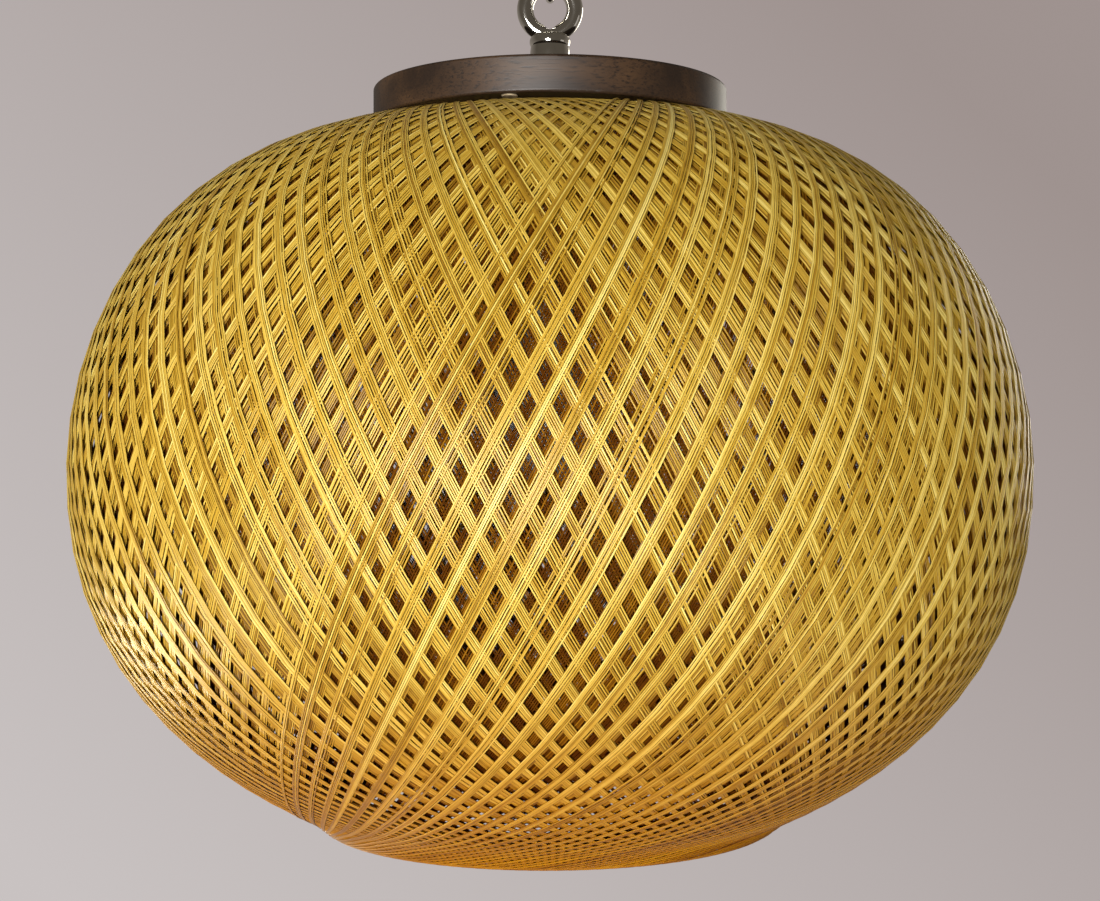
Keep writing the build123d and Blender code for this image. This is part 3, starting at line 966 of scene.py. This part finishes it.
    def thread_mesh(
        self, run: WindingPass, points: np.ndarray, normals: np.ndarray, tone: np.ndarray
    ) -> bpy.types.Mesh:
        """Sweeps a low trapezium, wide side down, along the centre lines.

        At each point the side direction is the thread's direction crossed with the surface
        normal, and the four corners lie at (side, normal) offsets in shares of the width and of
        the thickness. Both ends are closed.

        Args:
            run: the pass.
            points: centre lines, threads by points by 3.
            normals: surface normals along them.
            tone: each thread's tone.

        Returns:
            The mesh of all the threads.
        """
        along = np.gradient(points, axis=1)
        along /= np.linalg.norm(along, axis=-1, keepdims=True)
        side = np.cross(along, normals)
        side /= np.linalg.norm(side, axis=-1, keepdims=True)
        rings = np.stack(
            [
                points + side * (across * run.width) + normals * (up * run.height)
                for across, up in self.corners
            ],
            axis=2,
        )
        threads, stations, sides, _ = rings.shape
        index = np.arange(threads * stations * sides).reshape(threads, stations, sides)
        here, there = index[:, :-1, :], index[:, 1:, :]
        walls = np.stack(
            [here, there, np.roll(there, -1, axis=2), np.roll(here, -1, axis=2)], axis=-1
        ).reshape(-1, 4)
        quads = np.concatenate([walls, index[:, 0, :], index[:, -1, ::-1]])
        mesh = mesh_from_arrays(run.name, rings.reshape(-1, 3), quads)
        shade = mesh.attributes.new(StrawFinish.tone_name, "FLOAT", "POINT")
        shade.data.foreach_set("value", np.repeat(tone, stations * sides).astype(np.float32))
        return mesh

    def build(self, straw: bpy.types.Material, shaded_inner: bpy.types.Material) -> None:
        """Makes every pass as a piece and puts it on the lamp.

        Args:
            straw: the outer threads' material.
            shaded_inner: the innermost threads' material, darkened with painted shade.
        """
        for run in self.passes():
            laid = self.lay_out(run)
            points, normals = self.course_lines(run, laid)
            mesh = self.thread_mesh(run, points, normals, laid["tone"])
            mesh.materials.append(shaded_inner if run.layer == 0 else straw)
            piece = bpy.data.objects.new(run.name, mesh)
            bpy.context.scene.collection.objects.link(piece)
            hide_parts("wound_globe")
            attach(piece, "lamp")
            LOG.info("%s: %d threads, %d faces", run.name, len(points), len(mesh.polygons))


def mesh_from_arrays(name: str, points: np.ndarray, quads: np.ndarray) -> bpy.types.Mesh:
    """Makes a smooth mesh from arrays of points and quads.

    Args:
        name: the mesh's name.
        points: points by 3.
        quads: faces by 4.

    Returns:
        The mesh.
    """
    mesh = bpy.data.meshes.new(name)
    mesh.vertices.add(len(points))
    mesh.vertices.foreach_set("co", points.astype(np.float32).ravel())
    mesh.loops.add(quads.size)
    mesh.loops.foreach_set("vertex_index", quads.astype(np.int32).ravel())
    mesh.polygons.add(len(quads))
    mesh.polygons.foreach_set("loop_start", np.arange(0, quads.size, 4, dtype=np.int32))
    mesh.polygons.foreach_set("use_smooth", np.ones(len(quads), bool))
    mesh.update(calc_edges=True)
    mesh.validate()
    return mesh


# --- Fittings that keep their constructed shape -------------------------------------------------


@dataclass
class Fittings:
    """The pieces that keep their constructed shapes, each with its finish.

    Args:
        shared: the common node groups.
    """

    shared: SharedEffects

    def finishes(self) -> dict[str, bpy.types.Material]:
        """One material for each finish, by the name of its slot."""
        made = {
            "chrome": MetalFinish("polished_chrome", (0.84, 0.82, 0.76), 0.05, 0.14, 0.02),
            "zinc_steel": MetalFinish("zinc_steel", (0.56, 0.56, 0.55), 0.28, 0.5, 0.1, 0.3),
            "walnut": WalnutFinish(),
            "felt": PlainFinish("pale_felt", (0.22, 0.16, 0.09), (0.40, 0.32, 0.20), 0.85, 1.0, 0.6),
            "brass": MetalFinish("satin_brass", (0.70, 0.50, 0.22), 0.22, 0.4, 0.06, 0.3),
            "fibre": PlainFinish("waxed_fibre", (0.09, 0.06, 0.04), (0.16, 0.11, 0.07), 0.6, 0.8),
            "moulding": PlainFinish(
                "black_moulding", (0.01, 0.01, 0.01), (0.02, 0.02, 0.02), 0.25, 0.4
            ),
            "aluminium": MetalFinish("rolled_aluminium", (0.74, 0.74, 0.75), 0.25, 0.42, 0.08),
            "solder": MetalFinish("solder", (0.5, 0.5, 0.5), 0.4, 0.6, 0.2),
            "black_glass": PlainFinish("vitrified", (0.01, 0.01, 0.015), (0.02, 0.02, 0.03), 0.1, 0.2),
            "frosted_glass": GlassFinish("frosted_glass", (0.93, 0.93, 0.9), 0.55, 0.38, 0.5),
            "clear_glass": GlassFinish("clear_glass", (0.97, 0.98, 0.98), 1.0, 0.02, 0.06),
            "filament_wire": MetalFinish("support_wire", (0.35, 0.34, 0.33), 0.3, 0.5, 0.05),
        }
        return {slot: finish.build(self.shared) for slot, finish in made.items()}

    def dress(self) -> None:
        """Gives every constructed node the material of its slot."""
        by_slot = self.finishes()
        for part in frame["record"]["subparts"]:
            node, slot = part["node"], part["material_slot"]
            if slot not in by_slot:
                continue
            target = frame["nodes"][node]
            target.data.materials.clear()
            target.data.materials.append(by_slot[slot])
            LOG.info("%s: %s", node, by_slot[slot].name)


# --- Studio -----------------------------------------------------------------------------------


@dataclass
class Studio:
    """Floor, air, lights and camera.

    Args:
        axis_height: height of the camera.
        distance: from the lamp's axis to the camera.
        focal: focal length as a share of the picture's width.
        horizon_drop: how far the horizon lies below the middle, as a share of the width.
        sensor: width of the camera's sensor in millimetres.
        floor_radius: radius of the round floor.
        floor_drop: how far the floor lies below the camera.
        floor_sides: corners of each of its rings.
        floor_rings: rings.
        mirror_gain: how much brighter the room is in reflections.
    """

    axis_height: float
    distance: float
    focal: float = 1.6645455
    horizon_drop: float = 0.0046363636
    sensor: float = 36.0
    floor_radius: float = 1.6
    floor_drop: float = 1.05
    floor_sides: int = 96
    floor_rings: int = 12
    mirror_gain: float = 0.7

    def floor(self) -> None:
        """A pale round floor under the lamp: rings about the axis, flat."""
        around = np.linspace(0, 2 * math.pi, self.floor_sides + 1)[:-1]
        radii = np.linspace(MM, self.floor_radius, self.floor_rings)
        grid = np.stack(
            [
                radii[:, None] * np.cos(around),
                radii[:, None] * np.sin(around),
                np.full((len(radii), len(around)), self.axis_height - self.floor_drop),
            ],
            axis=-1,
        )
        index = np.arange(len(radii) * len(around)).reshape(len(radii), len(around))
        inner, outer = index[:-1], index[1:]
        quads = np.stack(
            [inner, outer, np.roll(outer, -1, axis=1), np.roll(inner, -1, axis=1)], axis=-1
        ).reshape(-1, 4)
        mesh = mesh_from_arrays("studio_floor", grid.reshape(-1, 3), quads)
        material, _, shader = new_material("pale_floor")
        shader.inputs["Base Color"].default_value = (0.52, 0.47, 0.44, 1.0)
        shader.inputs["Roughness"].default_value = 0.9
        mesh.materials.append(material)
        floor = bpy.data.objects.new("studio_floor", mesh)
        bpy.context.scene.collection.objects.link(floor)

    def air(self) -> None:
        """Warm grey air: lighter low on the left to the eye, and a dim room to everything else.

        To the eye the colour runs along the direction's share to the left and down. To the lamp
        it runs from a dark room in front to a pale wall behind.
        """
        world = bpy.data.worlds.new("studio_air")
        world.use_nodes = True
        bpy.context.scene.world = world
        helper = ShaderTree(world.node_tree)
        background = world.node_tree.nodes["Background"]
        where = helper.add("ShaderNodeTexCoord").outputs["Generated"]
        slope = helper.vector("DOT_PRODUCT", where, (-1.0, 0.0, -1.1), output="Value")
        seen = helper.ramp(
            helper.span(slope, From_Min=-0.42, From_Max=0.5),
            (0.0, (0.345, 0.290, 0.277)),
            (1.0, (0.580, 0.540, 0.535)),
        )
        away = helper.vector("DOT_PRODUCT", where, (0.0, 1.0, -0.8), output="Value")
        room = helper.ramp(
            helper.span(away, From_Min=-0.3, From_Max=1.2),
            (0.0, (0.055, 0.047, 0.038)),
            (1.0, (0.19, 0.168, 0.150)),
        )
        path = helper.add("ShaderNodeLightPath")
        gain = helper.number("MULTIPLY_ADD", path.outputs["Is Glossy Ray"], self.mirror_gain, 1.0)
        mirrored = helper.vector("MULTIPLY", room, gain)
        choice = helper.mixed("RGBA", path.outputs["Is Camera Ray"], mirrored, seen)
        helper.join(choice, background.inputs["Color"])
        background.inputs["Strength"].default_value = 1.0

    def softbox(
        self,
        name: str,
        place: Triple,
        size: tuple[float, float],
        power: float,
        color: Triple = (1.0, 1.0, 1.0),
    ) -> None:
        """Adds a rectangular light that faces the globe's middle.

        Args:
            name: the light's name.
            place: where it stands, from the point at camera height on the lamp's axis.
            size: width and height.
            power: in watts.
            color: linear colour.
        """
        data = bpy.data.lights.new(name, "AREA")
        data.shape = "RECTANGLE"
        data.size, data.size_y = size
        data.energy = power
        data.color = color
        light = bpy.data.objects.new(name, data)
        light.location = (place[0], place[1], self.axis_height + place[2])
        light.rotation_euler = look_angles(-np.array(place))
        bpy.context.scene.collection.objects.link(light)

    def lights(self) -> None:
        """A window in front, a weak fill from the right, and two lights from behind."""
        self.softbox("window_light", (-0.45, -2.0, -0.08), (0.8, 0.8), 66.0, (1.0, 0.98, 0.96))
        self.softbox("fill_light", (2.0, -0.6, -0.3), (0.8, 1.0), 0.8, (1.0, 0.96, 0.92))
        self.softbox("rim_light", (-1.5, 0.9, -1.0), (0.8, 0.8), 34.0, (1.0, 0.93, 0.74))
        self.softbox("back_light", (1.3, 1.9, 0.3), (1.0, 1.0), 12.0, (1.0, 0.94, 0.82))

    def camera(self) -> None:
        """A level camera in front of the lamp, its frame shifted by the horizon's drop."""
        data = bpy.data.cameras.new("front_camera")
        data.sensor_width = self.sensor
        data.lens = self.focal * self.sensor
        data.shift_y = self.horizon_drop
        data.clip_start = 0.01
        data.clip_end = 50.0
        camera = bpy.data.objects.new("front_camera", data)
        camera.location = (0.0, -self.distance, self.axis_height)
        camera.rotation_euler = (math.pi / 2, 0.0, 0.0)
        bpy.context.scene.collection.objects.link(camera)
        bpy.context.scene.camera = camera
        bpy.context.scene.view_settings.view_transform = "Standard"

    def build(self) -> None:
        """Makes floor, air, lights and camera."""
        self.floor()
        self.air()
        self.lights()
        self.camera()
        LOG.info("studio: camera %.3f m from the axis", self.distance)


def look_angles(aim: np.ndarray) -> Triple:
    """Euler angles that turn a light, which shines along its own -Z, to shine along a direction.

    Args:
        aim: the direction.

    Returns:
        Rotation about X, Y and Z.
    """
    flat = math.hypot(aim[0], aim[1])
    return (math.atan2(flat, -aim[2]), 0.0, math.atan2(-aim[0], aim[1]))


def globe_section_in_frame() -> GlobeSection:
    """The globe's section, placed by the box of the constructed globe."""
    low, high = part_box("wound_globe")
    radius = (high[0] - low[0]) / 2
    section = GlobeSection(radius=radius, equator=0.0)
    section.equator = high[2] - float(section.h[0])
    return section


def main() -> None:
    """Builds the studio and the lamp, piece by piece."""
    logging.basicConfig(level=logging.INFO, format="%(message)s")
    camera_rise, camera_radii = 0.0226897, 3.90755
    amber_start, amber_full = 0.035, 0.155
    section = globe_section_in_frame()
    Studio(
        axis_height=section.equator + camera_rise * section.radius,
        distance=camera_radii * section.radius,
    ).build()
    shared = SharedEffects()
    on_globe = {
        "centre": section.equator,
        "amber_from": section.equator - amber_start,
        "amber_to": section.equator - amber_full,
    }
    straw = StrawFinish(**on_globe).build(shared)
    # The innermost threads get a darker, duller copy of the straw: painted shade for the shadow inside
    # the winding.
    shaded_inner = StrawFinish(
        name="shaded_inner_thread",
        painted_shade=(0.86, 0.74, 0.55),
        low=0.6,
        high=0.8,
        coat=0.0,
        specular=0.05,
        **on_globe,
    ).build(shared)
    WoundGlobe(section).build(straw, shaded_inner)
    Fittings(shared).dress()


if __name__ == "__main__":
    main()
